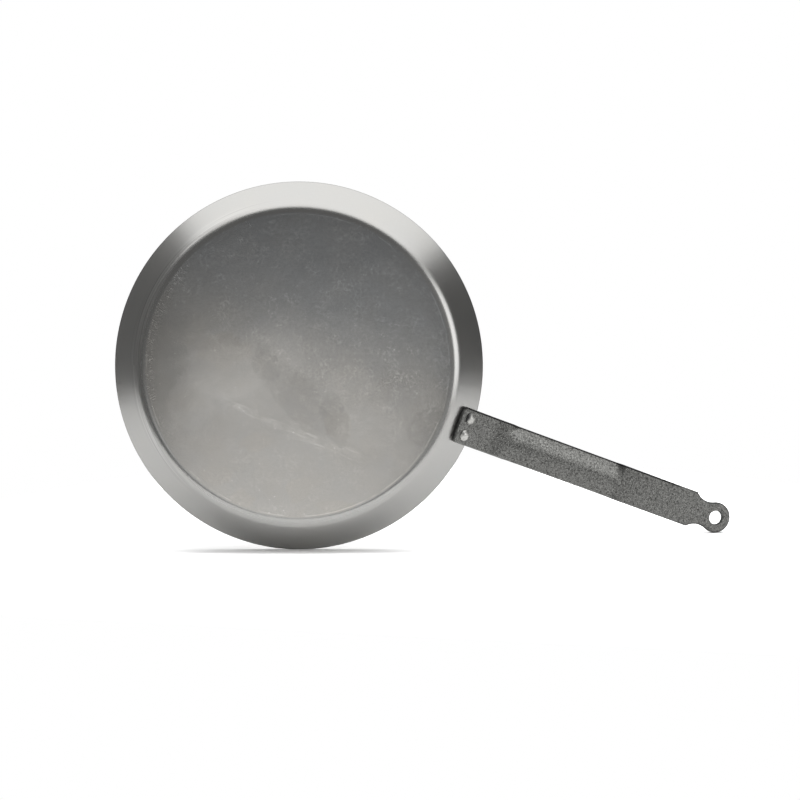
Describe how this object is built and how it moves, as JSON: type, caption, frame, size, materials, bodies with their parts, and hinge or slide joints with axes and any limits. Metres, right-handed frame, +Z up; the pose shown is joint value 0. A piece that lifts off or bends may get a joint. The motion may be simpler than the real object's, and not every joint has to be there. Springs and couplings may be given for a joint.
{
  "type": "crepe pan",
  "caption": "Shallow round crepe pan of bare pressed steel with a flared wall and a riveted painted strip handle that ends in a hanging eyelet.",
  "frame": {"origin": "middle of the flat base's underside, on the pan's axis", "axes": "+Z up along the pan's axis with the pan on its base, +X along the handle away from the pan, +Y to the handle's left seen from above"},
  "size_m": [0.4604, 0.2594, 0.0869],
  "materials": {
    "bare_steel": "bare rolled carbon steel, lightly oiled, satin",
    "hammer_paint": "grey hammer-finish paint, semi-gloss",
    "rivet_steel": "bright upset steel"
  },
  "bodies": {
    "root": {"pan_body": "bare_steel", "handle": "hammer_paint", "rivet_left": "rivet_steel", "rivet_right": "rivet_steel"}
  },
  "joints": []
}
